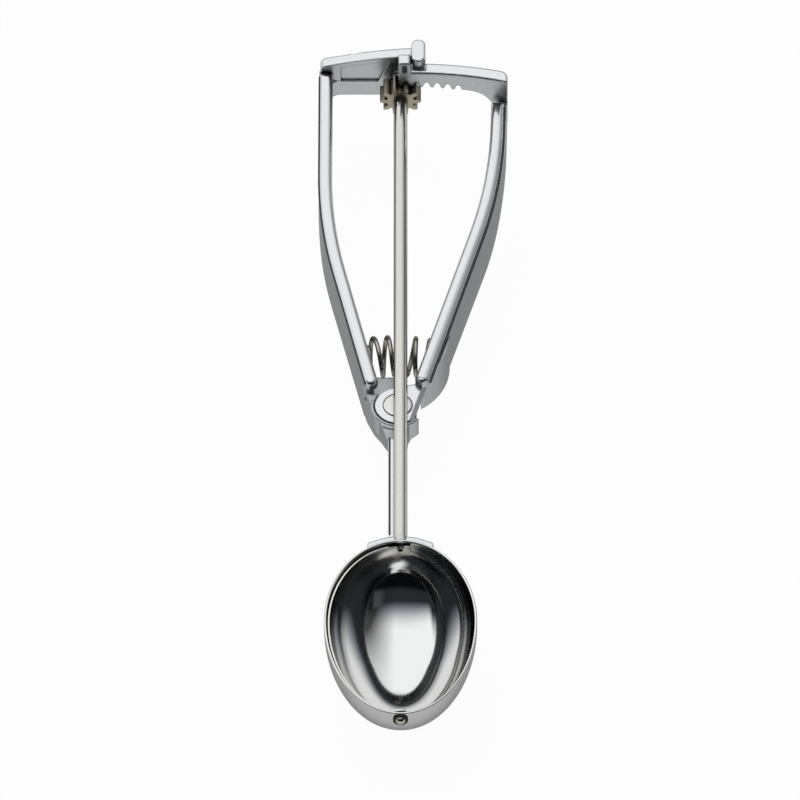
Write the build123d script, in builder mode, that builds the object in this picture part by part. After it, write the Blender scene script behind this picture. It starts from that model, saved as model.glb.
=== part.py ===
from build123d import *
from math import asin, atan2, cos, degrees, pi, radians, sin, sqrt, tan
import os

# Lever ice cream scoop. X runs across the tool, Y along the shaft towards the
# top of the handles, Z out of the bowl's mouth. The origin is on the shaft's
# axis, level with the lever's pivot, whose axis is parallel to Z.

# ---- Running and seating gaps ----
running_gap = 0.05
side_gap = 0.15
seat_gap = 0.02
rack_backlash = 0.2

# ---- Overall lengths along the tool, from the pivot ----
arm_underside = 119.9
bowl_widest = -84.3

# ---- Shaft and pinion ----
shaft_radius = 2.0
journal_radius = 1.5
journal_length = 3.8
tooth_module = 1.0
tooth_count = 10
pressure_angle = 20.0
pinion_face = 5.6
pinion_dedendum = 1.0
pinion_thinning = 0.1
hub_radius = 3.2
hub_gap = 0.4
pinion_set_back = 0.75

# ---- Arm of the fixed handle, which carries the top bearing and the hook ----
arm_thickness = 3.5
arm_back = -7.0
arm_front_outer = 5.6
arm_front_middle = 8.9
arm_front_inner = 10.9
arm_end = 1.7
arm_corner_round = 2.0
arm_inner_corner = 3.5
arm_round = 0.8
arm_bite = 1.0
pocket_depth = 0.6
pocket_back = -0.8
pocket_lip = 1.1
pocket_right = -6.5
pocket_slant = 3.0
bearing_boss_radius = 4.0
bearing_boss_height = 1.8
hook_left = 3.2
hook_width = 4.1
hook_reach = 5.0
hook_front = 14.4
hook_corner_round = 1.9
hook_front_round = 0.7
hook_gap = 0.2

# ---- Arm of the lever, which is the rack ----
rack_below_arm = 4.1
rack_width = 4.0
rack_front = 10.2
rack_front_outer = 11.7
rack_over = 1.0
rack_addendum = 0.8
rack_dedendum = 1.2
rack_root_bow = 0.5
rack_gap_count = 7
rack_end = -0.6
web_back = 4.6
web_root_radius = 7.0
lever_arm_round = 0.8
lever_corner_radius = 2.5
stop_gap = 0.3
stop_front = 14.4
stop_round = 0.8
stop_recess_width = 1.5
stop_recess_length = 6.2
stop_recess_depth = 0.6

# ---- Grips ----
bead_width = 3.8
bead_depth = 3.0
bead_round = 1.5
bead_gap = 0.5
grip_wall = 2.8
fixed_wall_shift = 0.7
lever_wall_shift = 1.5
grip_back = -17.0
front_at_pivot = -0.7
front_at_arm = 3.9
grip_bend_radius = 150.0
back_bend_radius = 90.0
back_bend_share = 0.55
fixed_grip_foot = (-8.4, 7.0)
fixed_bend_side = -21.9
fixed_bend_share = 0.54
fixed_grip_top = -21.7
lever_grip_foot = (6.1, 7.9)
lever_bend_side = 27.6
lever_bend_share = 0.667
lever_grip_top = 28.4
heel_tip = (5.9, 9.4)
heel_middle = (12.3, 16.5)
heel_top = (14.35, 24.7)
heel_inner_station = 12.5

# ---- Pivot ----
pivot_side = -0.8
boss_radius = 6.6
boss_front = -3.4
boss_thickness = 5.6
boss_flat = 4.9
neck_length = 13.5
neck_width = 2.6
rivet_radius = 2.5
rivet_head_radius = 4.15
rivet_head_height = 1.1
rivet_tail_radius = 3.8
rivet_tail_height = 1.0
rivet_round = 0.4
pivot_washer_radius = 5.0
pivot_washer_thickness = 0.5

# ---- Base of the fixed handle, with the socket that the lever's boss turns in ----
base_thickness = 4.6
socket_gap = 0.35
cup_wall = 0.8
cup_floor = 1.5
cup_end = (4.6, -4.8)
rim_drop = 0.2
rim_top = 6.4
base_floor_top = 15.0
base_floor_right = 1.0
base_shoulder = (-9.7, 3.4)
base_waist = (-5.7, -6.8)
base_right_low = (2.2, -8.1)
base_right_middle = (3.0, -4.7)
base_right_high = (4.7, 2.3)
base_round = 2.0
base_back = -15.0

# ---- Return spring ----
spring_wire = 1.4
spring_outer_radius = 6.2
spring_turns = 4.75
spring_points_per_turn = 8
spring_sides = 8
spring_height = -9.2
spring_station = 23.0
spring_end_gap = 0.1
peg_radius = 3.8
peg_length = 2.4

# ---- Shank and cradle ----
shank_left = -3.6
shank_right = 1.9
shank_front = -3.0
shank_back = -8.4
shank_start = -13.5
shank_round = 1.0
cradle_wall = 1.6
cradle_radius = 9.6
cradle_drop = 0.6
bush_wall = 0.8
bush_stand = 2.0

# ---- Bowl ----
bowl_radius = 22.1
bowl_rear_length = 29.8
bowl_front_length = 34.4
bowl_wall = 0.8
rim_height = 2.5
egg_steps = 8

# ---- Scraper ----
blade_gap = 0.35
blade_wall = 0.8
blade_width = 6.4
blade_edge = 1.2
blade_eye_radius = 2.9
tenon_radius = 1.2
tenon_head_radius = 1.9
tenon_head_height = 0.6
front_pin_radius = 1.0
front_pin_head_radius = 1.25
front_pin_inside = 0.4
front_washer_radius = 2.2
front_washer_thickness = 0.5

# ---- Values that follow from those above ----
pitch_radius = tooth_module * tooth_count / 2
tip_radius = pitch_radius + tooth_module
root_radius = pitch_radius - pinion_dedendum
base_circle = pitch_radius * cos(radians(pressure_angle))
tooth_pitch = pi * tooth_module
rack_mesh_radius = arm_underside - rack_below_arm
rack_mesh_turn = asin(-pivot_side / rack_mesh_radius)
rack_tip = pitch_radius - rack_addendum
rack_root = pitch_radius + rack_dedendum
rack_root_start = rack_root - rack_root_bow
rack_inner = rack_mesh_radius - rack_width / 2
rack_outer = rack_mesh_radius + rack_width / 2
rack_length = (rack_gap_count - 1) * tooth_pitch - tooth_pitch / 4
flank = tan(radians(pressure_angle))
gap_half = (tooth_pitch / 2 + rack_backlash) / 2
root_half = gap_half - (rack_root_start - pitch_radius) * flank
cut_low = rack_tip - rack_over
cut_half = gap_half + (pitch_radius - cut_low) * flank
hook_back = rack_front_outer + hook_gap
bearing_face = arm_underside - bearing_boss_height
hub_top = bearing_face - hub_gap
pinion_top = rack_outer - pinion_set_back
pinion_bottom = pinion_top - pinion_face
arm_top = arm_underside + arm_thickness
arm_left = fixed_grip_top - arm_end
hook_right = hook_left + hook_width
hook_bottom = arm_underside - hook_reach
stop_right = hook_left - stop_gap
boss_back = boss_front - boss_thickness
base_front = boss_back - side_gap
rivet_seat = base_front - base_thickness
rivet_washer_back = rivet_seat - pivot_washer_thickness
socket_radius = boss_radius + socket_gap
rim_front = boss_front - rim_drop
rear_pole = bowl_widest + bowl_rear_length
front_pole = bowl_widest - bowl_front_length
bush_radius = journal_radius + running_gap + bush_wall
bush_top = rear_pole + bush_stand
blade_rear = rear_pole - bowl_wall - blade_gap
blade_front = front_pole + bowl_wall + blade_gap
blade_growth = -bowl_wall - blade_gap - blade_wall
blade_inner_radius = bowl_radius + blade_growth
blade_inner_length = bowl_rear_length + blade_growth
first_step = pi / 2 / egg_steps
blade_slope = blade_inner_length * (1 - cos(first_step)) / (blade_inner_radius * sin(first_step))
tenon_shoulder = blade_rear - blade_wall - blade_slope * tenon_head_radius - seat_gap
washer_front = front_pole - front_washer_thickness
front_slope = (front_at_arm - front_at_pivot) / arm_underside
back_bend_station = back_bend_share * arm_underside
fixed_grip_bend = (fixed_bend_side, fixed_bend_share * arm_underside)
lever_grip_bend = (lever_bend_side, lever_bend_share * arm_underside)
lever_arm_station = sqrt(rack_inner**2 - lever_grip_top**2)
lever_side = lever_grip_top + lever_wall_shift + grip_wall / 2
lever_bead_side = lever_grip_top + bead_width / 2 - pivot_side
fixed_bead_top = arm_underside - bead_gap
lever_bead_top = sqrt(rack_inner**2 - lever_bead_side**2) - bead_gap
coil_radius = spring_outer_radius - spring_wire / 2
pivot_point = (pivot_side, 0)
wall_inner_top = fixed_grip_top - fixed_wall_shift + grip_wall / 2
lever_lean = degrees(atan2(lever_bend_side - lever_grip_foot[0], lever_grip_bend[1] - lever_grip_foot[1]))


def front_height(station):
    """Height of the grips' front plane at a place along the tool."""
    return front_at_pivot + front_slope * station


def grip_line(foot, bend, top):
    """Centre line of a grip's bead in plan: two straights joined by one long bend."""
    return FilletPolyline(foot, bend, top, radius=grip_bend_radius)


def grip_wall_solid(line, foot_station, top_station):
    """Deep thin wall of a grip, shallower where it meets its arm."""
    with BuildPart(mode=Mode.PRIVATE) as wall:
        with BuildSketch(Plane.XY.offset(grip_back)):
            with BuildLine():
                add(line)
            trace(line_width=grip_wall)
        extrude(amount=front_at_arm - grip_back)
        with BuildSketch(Plane.YZ):
            with BuildLine():
                FilletPolyline(
                    (foot_station, grip_back),
                    (back_bend_station, grip_back),
                    (top_station, arm_back),
                    radius=back_bend_radius,
                )
                Polyline(
                    (top_station, arm_back),
                    (top_station, front_height(top_station) - bead_round),
                    (foot_station, front_height(foot_station) - bead_round),
                    (foot_station, grip_back),
                )
            make_face()
        extrude(amount=2 * lever_side, both=True, mode=Mode.INTERSECT)
    return wall.part


def grip_bead_solid(line):
    """Rounded bead along a grip's front edge, rising gently towards the arm."""
    front_plane = Plane((0, 0, front_at_pivot), x_dir=(1, 0, 0), z_dir=(0, -front_slope, 1))
    with BuildPart(mode=Mode.PRIVATE) as bead:
        with BuildSketch(front_plane.offset(-bead_depth)):
            with BuildLine():
                add(line)
            trace(line_width=bead_width)
        extrude(amount=bead_depth)
        top_edges = bead.faces().filter_by(front_plane).sort_by(Axis.Z)[-1].edges()
        fillet(top_edges, bead_round)
    return bead.part


def grip_frame(foot, bend, side):
    """Unit vectors along a grip's lower straight and towards the shaft from it."""
    length = sqrt((bend[0] - foot[0]) ** 2 + (bend[1] - foot[1]) ** 2)
    along = Vector((bend[0] - foot[0]) / length, (bend[1] - foot[1]) / length)
    return along, Vector(side * along.Y, -side * along.X)


def side_at(start, along, station):
    """Distance across the tool at which a straight through start passes a station."""
    return start.X + along.X * (station - start.Y) / along.Y


def egg_curve(growth, rear_hole, front_hole):
    """Egg's outline from hole to hole: two half ellipses back to back, in even steps."""
    radius = bowl_radius + growth
    turns = [pi / 2 * step / egg_steps for step in range(1, egg_steps + 1)]
    sides = []
    for length, hole in (
        (bowl_rear_length + growth, rear_hole),
        (-bowl_front_length - growth, front_hole),
    ):
        quarter = [(radius * sin(turn), bowl_widest + length * cos(turn)) for turn in turns]
        pole = bowl_widest + length
        drop = (quarter[0][1] - pole) * hole / quarter[0][0]
        sides.append([(hole, pole + drop)] + quarter)
    return sides[0] + sides[1][-2::-1]


def egg_shell(inner_growth, outer_growth, rear_hole, front_hole):
    """Egg-shaped shell about the shaft's axis, with a hole at each pole."""
    outer = egg_curve(outer_growth, rear_hole, front_hole)
    inner = egg_curve(inner_growth, rear_hole, front_hole)
    with BuildPart(mode=Mode.PRIVATE) as egg:
        with BuildSketch(Plane.XY):
            with BuildLine():
                Polyline(*outer, *reversed(inner), close=True)
            make_face()
        revolve(axis=Axis.Y)
    return egg.part


def egg_cup(inner_growth, outer_growth, lip):
    """Half of the egg's shell below the shaft's axis, with a straight lip above it."""
    with BuildPart(mode=Mode.PRIVATE) as cup:
        add(egg_shell(inner_growth, outer_growth, 0, 0))
        add(
            block(
                (-2 * bowl_radius, 2 * front_pole, 0),
                (2 * bowl_radius, 0, 2 * bowl_radius),
            ),
            mode=Mode.SUBTRACT,
        )
        lip_faces = cup.faces().filter_by(Axis.Z).group_by(Axis.Z)[-1]
        extrude(lip_faces, amount=lip)
    return cup.part


def cylinder_y(radius, low, high):
    """Cylinder about the shaft's axis between two stations."""
    with BuildPart(mode=Mode.PRIVATE) as rod:
        with BuildSketch(Plane.XZ.offset(-high)):
            Circle(radius)
        extrude(amount=high - low)
    return rod.part


def block(low, high):
    """Rectangular block between two corners."""
    size = [b - a for a, b in zip(low, high)]
    with BuildPart(mode=Mode.PRIVATE) as box:
        with Locations(low):
            Box(*size, align=(Align.MIN, Align.MIN, Align.MIN))
    return box.part


def pivot_disc(radius, low, high):
    """Disc about the pivot's axis between two heights."""
    with BuildPart(mode=Mode.PRIVATE) as disc:
        with BuildSketch(Plane.XY.offset(low)):
            with Locations(pivot_point):
                Circle(radius)
        extrude(amount=high - low)
    return disc.part


# ---- Lines of the grips, and the spring's curved axis between them ----
fixed_line = grip_line(
    fixed_grip_foot, fixed_grip_bend, (fixed_grip_top, arm_underside + arm_bite)
)
lever_line = grip_line(
    lever_grip_foot, lever_grip_bend, (lever_grip_top, lever_arm_station + arm_bite)
)
fixed_bead_line = grip_line(
    fixed_grip_foot, fixed_grip_bend, (fixed_grip_top, fixed_bead_top)
)
lever_bead_line = grip_line(
    lever_grip_foot, lever_grip_bend, (lever_grip_top, lever_bead_top)
)
fixed_wall_line = fixed_line.offset_2d(fixed_wall_shift, side=Side.LEFT, closed=False)
lever_wall_line = lever_line.offset_2d(lever_wall_shift, side=Side.RIGHT, closed=False)
fixed_along, fixed_in = grip_frame(fixed_grip_foot, fixed_grip_bend, 1)
lever_along, lever_in = grip_frame(lever_grip_foot, lever_grip_bend, -1)
fixed_face = Vector(*fixed_grip_foot) + fixed_in * (grip_wall / 2 - fixed_wall_shift)
lever_face = Vector(*lever_grip_foot) + lever_in * (grip_wall / 2 - lever_wall_shift)
fixed_outer = fixed_face - fixed_in * grip_wall
face_step = lever_face - fixed_face
cross = fixed_along.X * lever_along.Y - fixed_along.Y * lever_along.X
reach = (face_step.X * lever_along.Y - face_step.Y * lever_along.X) / cross
spring_centre = fixed_face + fixed_along * reach
spring_radius = spring_station - spring_centre.Y
fixed_seat = spring_centre + fixed_along * spring_radius + Vector(0, 0, spring_height)
lever_seat = spring_centre + lever_along * spring_radius + Vector(0, 0, spring_height)

# ---- Top arm of the fixed handle: a flat plate with a bowed front edge ----
with BuildPart() as top_arm:
    with BuildSketch(Plane.XZ.offset(-arm_top)):
        with BuildLine():
            ThreePointArc(
                (arm_left, arm_front_outer),
                ((arm_left + hook_left) / 2, arm_front_middle),
                (hook_right, arm_front_inner),
            )
            Polyline(
                (hook_right, arm_front_inner),
                (hook_right, 0),
                (bearing_boss_radius, arm_back),
                (arm_left, arm_back),
                (arm_left, arm_front_outer),
            )
        make_face()
    extrude(amount=arm_thickness)
    fillet(top_arm.edges().filter_by(Axis.Y).group_by(Axis.X)[0].sort_by(Axis.Z)[-1], arm_corner_round)
    fillet(top_arm.edges().group_by(Axis.Y)[-1], arm_round)

# ---- Hook in front of the rack, which stops the lever as it opens ----
with BuildPart() as hook:
    with BuildSketch(Plane.YZ.offset(hook_left)):
        Polygon(
            (arm_underside, 0),
            (arm_underside, hook_back),
            (hook_bottom, hook_back),
            (hook_bottom, hook_front),
            (arm_top, hook_front),
            (arm_top, 0),
            align=None,
        )
    extrude(amount=hook_width)
    fillet(hook.edges().filter_by(Axis.Z).group_by(Axis.Y)[0], hook_corner_round)
    fillet(hook.edges().filter_by(Axis.Z).group_by(Axis.Y)[-1], hook_corner_round)
    fillet(hook.faces().sort_by(Axis.Z)[-1].edges(), hook_front_round)

# ---- Base around the pivot, which narrows into the shank ----
with BuildPart() as base:
    with BuildSketch(Plane.XY.offset(grip_back)):
        Polygon(
            (side_at(fixed_outer, fixed_along, base_floor_top), base_floor_top),
            base_shoulder,
            base_waist,
            (shank_left, shank_start),
            (shank_right, shank_start),
            base_right_low,
            base_right_middle,
            base_right_high,
            (base_floor_right, base_floor_top - boss_radius),
            (base_floor_right, base_floor_top),
            align=None,
        )
    extrude(amount=rim_front - grip_back)
    fillet(
        base.edges().filter_by(Axis.Z).filter_by_position(Axis.Y, base_waist[1], base_shoulder[1]),
        base_round,
    )
    with BuildSketch(Plane.YZ):
        with BuildLine():
            FilletPolyline(
                (base_floor_top + base_round, grip_back),
                (base_floor_top - base_round, grip_back),
                (-base_round, base_back),
                (shank_start, shank_back),
                radius=base_round,
            )
            Polyline(
                (shank_start, shank_back),
                (shank_start, rim_front),
                (base_floor_top + base_round, rim_front),
                (base_floor_top + base_round, grip_back),
            )
        make_face()
    extrude(amount=2 * lever_side, both=True, mode=Mode.INTERSECT)
    # Cup round the lever's boss, open on the lever's side
    add(pivot_disc(socket_radius + cup_wall, base_front - cup_floor, rim_front))
    with BuildSketch(Plane.XY.offset(grip_back)):
        Polygon(
            (base_right_high[0], base_floor_top),
            (base_right_high[0], base_right_high[1]),
            (cup_end[0], cup_end[1] + base_round),
            cup_end,
            (2 * lever_side, cup_end[1]),
            (2 * lever_side, base_floor_top),
            align=None,
        )
    extrude(amount=-grip_back, mode=Mode.SUBTRACT)
    # Socket for the lever's boss, and the open floor above it
    add(pivot_disc(socket_radius, base_front, 0), mode=Mode.SUBTRACT)
    with BuildSketch(Plane.XY.offset(base_front)):
        Polygon(
            (arm_left, rim_top),
            (0, rim_top / 2),
            cup_end,
            (2 * lever_side, cup_end[1]),
            (2 * lever_side, base_floor_top + base_round),
            (arm_left, base_floor_top + base_round),
            align=None,
        )
    extrude(amount=-grip_back, mode=Mode.SUBTRACT)

# ---- Shank behind the shaft ----
with BuildPart() as shank:
    with BuildSketch(Plane.YZ.offset(shank_left)):
        Polygon(
            (shank_start + arm_bite, shank_back),
            (shank_start + arm_bite, shank_front),
            (rear_pole + seat_gap, shank_front),
            (rear_pole - cradle_wall / 2, shank_back),
            align=None,
        )
    extrude(amount=shank_right - shank_left)
    fillet(shank.edges().group_by(SortBy.LENGTH)[-1], shank_round)

# ---- Cradle: a round dish that holds the bowl's rear ----
with BuildPart() as cradle:
    add(egg_cup(seat_gap, seat_gap + cradle_wall, rim_height - cradle_drop))
    add(cylinder_y(cradle_radius, bowl_widest, rear_pole + 2 * cradle_wall), mode=Mode.INTERSECT)
    add(cylinder_y(bush_radius + seat_gap, bowl_widest, 0), mode=Mode.SUBTRACT)

# ---- Fixed handle: grip, top arm, hook, base, shank and cradle in one casting ----
with BuildPart() as fixed_handle:
    add(grip_wall_solid(fixed_wall_line, fixed_grip_foot[1], arm_underside + arm_bite))
    add(grip_bead_solid(fixed_bead_line))
    add(top_arm.part)
    add(hook.part)
    add(base.part)
    add(shank.part)
    add(cradle.part)

    # Round in the corner between the arm and the grip
    with BuildSketch(Plane.XY.offset(arm_back)):
        with Locations((wall_inner_top - arm_bite, arm_underside + arm_bite)):
            Rectangle(
                arm_inner_corner + arm_bite,
                arm_inner_corner + arm_bite,
                align=(Align.MIN, Align.MAX),
            )
        with Locations((wall_inner_top + arm_inner_corner, arm_underside - arm_inner_corner)):
            Circle(arm_inner_corner, mode=Mode.SUBTRACT)
    extrude(amount=front_at_pivot - arm_back)

    # Shallow pocket cored out of the arm's underside
    with BuildSketch(Plane.XZ.offset(-arm_underside)):
        Polygon(
            (wall_inner_top + arm_inner_corner, pocket_back),
            (pocket_right, pocket_back),
            (pocket_right + pocket_slant, arm_front_middle - pocket_lip),
            (wall_inner_top + arm_inner_corner, arm_front_outer),
            align=None,
        )
    extrude(amount=-pocket_depth, mode=Mode.SUBTRACT)

    # Boss and blind bearing for the shaft's top journal
    add(cylinder_y(bearing_boss_radius, bearing_face, arm_underside + arm_round))
    add(
        cylinder_y(journal_radius + running_gap, bearing_face, bearing_face + journal_length),
        mode=Mode.SUBTRACT,
    )

    # Spotface, and the hole that the rivet is pressed in
    add(pivot_disc(pivot_washer_radius + socket_gap, 2 * grip_back, rivet_seat), mode=Mode.SUBTRACT)
    add(pivot_disc(rivet_radius + seat_gap, grip_back, base_front), mode=Mode.SUBTRACT)

    # Peg that centres the return spring
    with BuildSketch(Plane(fixed_seat - fixed_in * (grip_wall / 2), z_dir=fixed_in)):
        Circle(peg_radius)
    extrude(amount=grip_wall / 2 + peg_length)
fixed_handle.part.label = "fixed_handle"

# ---- Boss of the lever, cut flat in line with the grip, and its neck ----
flat_point = Vector(*pivot_point) - lever_in * boss_flat
with BuildPart() as lever_boss:
    with BuildSketch(Plane.XY.offset(boss_back)):
        with Locations(pivot_point):
            Circle(boss_radius)
        with Locations(Location(flat_point, (0, 0, -lever_lean))):
            Rectangle(
                boss_radius,
                4 * boss_radius,
                align=(Align.MIN, Align.CENTER),
                mode=Mode.SUBTRACT,
            )
        Polygon(
            pivot_point,
            (flat_point.X, flat_point.Y),
            tuple(flat_point + lever_along * (neck_length))[:2],
            tuple(flat_point + lever_along * neck_length + lever_in * neck_width)[:2],
            (lever_grip_foot[0] - bead_width / 2, lever_grip_foot[1]),
            (pivot_side, boss_radius),
            align=None,
        )
    extrude(amount=boss_thickness)

# ---- Heel: the rounded lower end of the lever's wall ----
with BuildPart() as heel:
    with BuildSketch(Plane.XY.offset(grip_back)):
        with BuildLine():
            ThreePointArc(heel_tip, heel_middle, heel_top)
            Polyline(
                heel_top,
                (side_at(lever_face, lever_along, heel_top[1]), heel_top[1]),
                (side_at(lever_face, lever_along, heel_inner_station), heel_inner_station),
                heel_tip,
            )
        make_face()
    extrude(amount=front_height(heel_tip[1]) - bead_round - grip_back)

# ---- Rack: a bar on an arc about the pivot, deep only at the grip's corner ----
with BuildPart() as rack_arm:
    with BuildSketch(Plane.XY.offset(arm_back)):
        with Locations(pivot_point):
            Circle(rack_outer)
            Circle(rack_inner, mode=Mode.SUBTRACT)
    extrude(amount=rack_front_outer - arm_back)
    with BuildSketch(Plane.XZ.offset(-rack_outer - 1)):
        Polygon(
            (rack_end, rack_front),
            (rack_end, rack_tip),
            (rack_length, rack_tip),
            (rack_length, web_back),
            (lever_side - bead_width, web_back),
            (lever_side - bead_width, arm_back),
            (lever_side, arm_back),
            (lever_side, rack_front_outer),
            align=None,
        )
    extrude(amount=rack_outer, mode=Mode.INTERSECT)
    web_edges = rack_arm.edges().filter_by_position(Axis.Z, web_back - seat_gap, web_back + seat_gap)
    fillet(web_edges.sort_by(Axis.X)[-1], web_root_radius)
    corner_edges = rack_arm.edges().filter_by(Axis.Z).group_by(Axis.X)[-1]
    fillet(corner_edges.sort_by(Axis.Y)[-1], lever_corner_radius)
    fillet(rack_arm.faces().sort_by(Axis.Z)[-1].edges(), lever_arm_round)
    # Gaps between the teeth, each cut along a radius of the pivot
    for index in range(rack_gap_count):
        turn = rack_mesh_turn + (index - 0.5) * tooth_pitch / rack_mesh_radius
        outward = Vector(sin(turn), cos(turn), 0)
        cut_start = Vector(*pivot_point) + outward * (rack_inner - rack_over)
        with BuildSketch(Plane(cut_start, x_dir=(0, 0, 1), z_dir=outward)):
            with BuildLine():
                ThreePointArc(
                    (rack_root_start, root_half),
                    (rack_root, 0),
                    (rack_root_start, -root_half),
                )
                Polyline(
                    (rack_root_start, -root_half),
                    (cut_low, -cut_half),
                    (cut_low, cut_half),
                    (rack_root_start, root_half),
                )
            make_face()
        extrude(amount=rack_width + 2 * rack_over, mode=Mode.SUBTRACT)

# ---- Stop lug at the rack's end, with a recess in its lower face ----
with BuildPart() as stop:
    add(
        block(
            (rack_end, rack_inner + seat_gap, rack_root),
            (stop_right, rack_outer - seat_gap, stop_front),
        )
    )
    fillet(stop.faces().sort_by(Axis.Z)[-1].edges(), stop_round)
    with BuildSketch(Plane.XZ.offset(-rack_inner - stop_recess_depth)):
        with Locations(((rack_end + stop_right) / 2, (rack_root + stop_front) / 2)):
            SlotOverall(stop_recess_length, stop_recess_width, rotation=90)
    extrude(amount=2 * stop_recess_depth, mode=Mode.SUBTRACT)

# ---- Lever: grip, rack arm and boss in one casting ----
with BuildPart() as lever_handle:
    add(grip_wall_solid(lever_wall_line, heel_top[1] - arm_bite, lever_arm_station + arm_bite))
    add(grip_bead_solid(lever_bead_line))
    add(lever_boss.part)
    add(heel.part)
    add(rack_arm.part)
    add(stop.part)

    # Hole for the rivet, and the peg that centres the return spring
    add(pivot_disc(rivet_radius + running_gap, boss_back - arm_bite, 0), mode=Mode.SUBTRACT)
    with BuildSketch(Plane(lever_seat - lever_in * (grip_wall / 2), z_dir=lever_in)):
        Circle(peg_radius)
    extrude(amount=grip_wall / 2 + peg_length)
lever_handle.part.label = "lever_handle"


# ---- Pinion: ten involute teeth and a short hub ----
def involute(radius):
    """Polar angle of the involute at a radius, measured from its start."""
    spread = sqrt((radius / base_circle) ** 2 - 1)
    return spread - atan2(spread, 1)


tooth_half = (tooth_pitch - pinion_thinning) / (4 * pitch_radius)
flank_start = involute(pitch_radius)
flank_radii = (base_circle, (base_circle + tip_radius) / 2, tip_radius)
flank_angles = [tooth_half + flank_start - involute(radius) for radius in flank_radii]

with BuildPart() as pinion:
    with BuildSketch(Plane.XZ.offset(-pinion_top)):
        Circle(root_radius)
        for index in range(tooth_count):
            middle = pi / 2 + (index + 0.5) * 2 * pi / tooth_count
            left = [
                (radius * cos(middle + angle), radius * sin(middle + angle))
                for radius, angle in zip(flank_radii, flank_angles)
            ]
            right = [
                (radius * cos(middle - angle), radius * sin(middle - angle))
                for radius, angle in zip(flank_radii, flank_angles)
            ]
            with BuildLine():
                Line((0, 0), left[0])
                ThreePointArc(*left)
                Line(left[-1], right[-1])
                ThreePointArc(*right)
                Line(right[0], (0, 0))
            make_face()
    extrude(amount=pinion_face)
    add(cylinder_y(hub_radius, pinion_top, hub_top))
    add(
        cylinder_y(shaft_radius + seat_gap, pinion_bottom - arm_bite, hub_top + arm_bite),
        mode=Mode.SUBTRACT,
    )
pinion.part.label = "pinion"

# ---- Shaft with its two journals and the tenon that holds the blade ----
with BuildPart() as scraper_shaft:
    add(cylinder_y(shaft_radius, bush_top + side_gap, hub_top))
    add(cylinder_y(journal_radius, blade_rear, bearing_face + journal_length - side_gap))
    add(cylinder_y(tenon_radius, tenon_shoulder, blade_rear))
    add(cylinder_y(tenon_head_radius, tenon_shoulder - tenon_head_height, tenon_shoulder))
    chamfer(scraper_shaft.edges().sort_by(Axis.Y)[0], tenon_head_height / 2)
scraper_shaft.part.label = "scraper_shaft"

# ---- Bowl: thin half egg, with holes for the bush and for the blade's front pin ----
with BuildPart() as bowl:
    add(egg_cup(-bowl_wall, 0, rim_height))
    add(cylinder_y(bush_radius + seat_gap, blade_rear, rear_pole + bowl_wall), mode=Mode.SUBTRACT)
    add(
        cylinder_y(front_pin_radius + seat_gap, front_pole - bowl_wall, blade_front),
        mode=Mode.SUBTRACT,
    )
bowl.part.label = "bowl"

# ---- Scraper blade: a strip of a smaller egg, with a round eye at each pole ----
with BuildPart() as strip:
    add(
        block(
            (-bowl_radius, front_pole, blade_edge - blade_width),
            (0, rear_pole, blade_edge),
        )
    )
    add(cylinder_y(blade_eye_radius, front_pole, rear_pole))
with BuildPart() as scraper_blade:
    add(
        egg_shell(
            blade_growth,
            blade_growth + blade_wall,
            tenon_radius + seat_gap,
            front_pin_radius + running_gap,
        )
    )
    add(strip.part, mode=Mode.INTERSECT)
scraper_blade.part.label = "scraper_blade"

# ---- Bush in the cradle, pressed through the bowl's rear wall ----
with BuildPart() as rear_bush:
    add(cylinder_y(bush_radius, rear_pole - bowl_wall - blade_gap / 2, bush_top))
    add(
        cylinder_y(journal_radius + running_gap, blade_rear, bush_top + side_gap),
        mode=Mode.SUBTRACT,
    )
rear_bush.part.label = "rear_bush"

# ---- Rivet of the pivot, headed at both ends, and the washer under its tail ----
with BuildPart() as pivot_rivet:
    add(pivot_disc(rivet_tail_radius, rivet_washer_back - rivet_tail_height, rivet_washer_back))
    add(pivot_disc(rivet_radius, rivet_washer_back, boss_front + running_gap))
    add(
        pivot_disc(
            rivet_head_radius,
            boss_front + running_gap,
            boss_front + running_gap + rivet_head_height,
        )
    )
    chamfer(pivot_rivet.edges().sort_by(Axis.Z)[-1], rivet_round)
    chamfer(pivot_rivet.edges().sort_by(Axis.Z)[0], rivet_round)
pivot_rivet.part.label = "pivot_rivet"

with BuildPart() as pivot_washer:
    add(pivot_disc(pivot_washer_radius, rivet_washer_back, rivet_seat))
    add(
        pivot_disc(rivet_radius + seat_gap, rivet_washer_back - side_gap, rivet_seat + side_gap),
        mode=Mode.SUBTRACT,
    )
pivot_washer.part.label = "pivot_washer"

# ---- Front pin of the blade, riveted outside the bowl over its washer ----
with BuildPart() as front_pin:
    with Locations((0, washer_front, 0)):
        Sphere(front_pin_head_radius)
    add(
        cylinder_y(2 * front_pin_head_radius, washer_front, front_pole),
        mode=Mode.SUBTRACT,
    )
    add(
        block(
            (-bowl_radius, washer_front, -bowl_radius),
            (bowl_radius, rear_pole, bowl_radius),
        ),
        mode=Mode.SUBTRACT,
    )
    add(cylinder_y(front_pin_radius, washer_front, blade_front + blade_wall + front_pin_inside))
front_pin.part.label = "front_pin"

with BuildPart() as front_washer:
    add(cylinder_y(front_washer_radius, washer_front, front_pole))
    add(
        cylinder_y(front_pin_radius + seat_gap, washer_front - side_gap, front_pole + side_gap),
        mode=Mode.SUBTRACT,
    )
front_washer.part.label = "front_washer"

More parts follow.
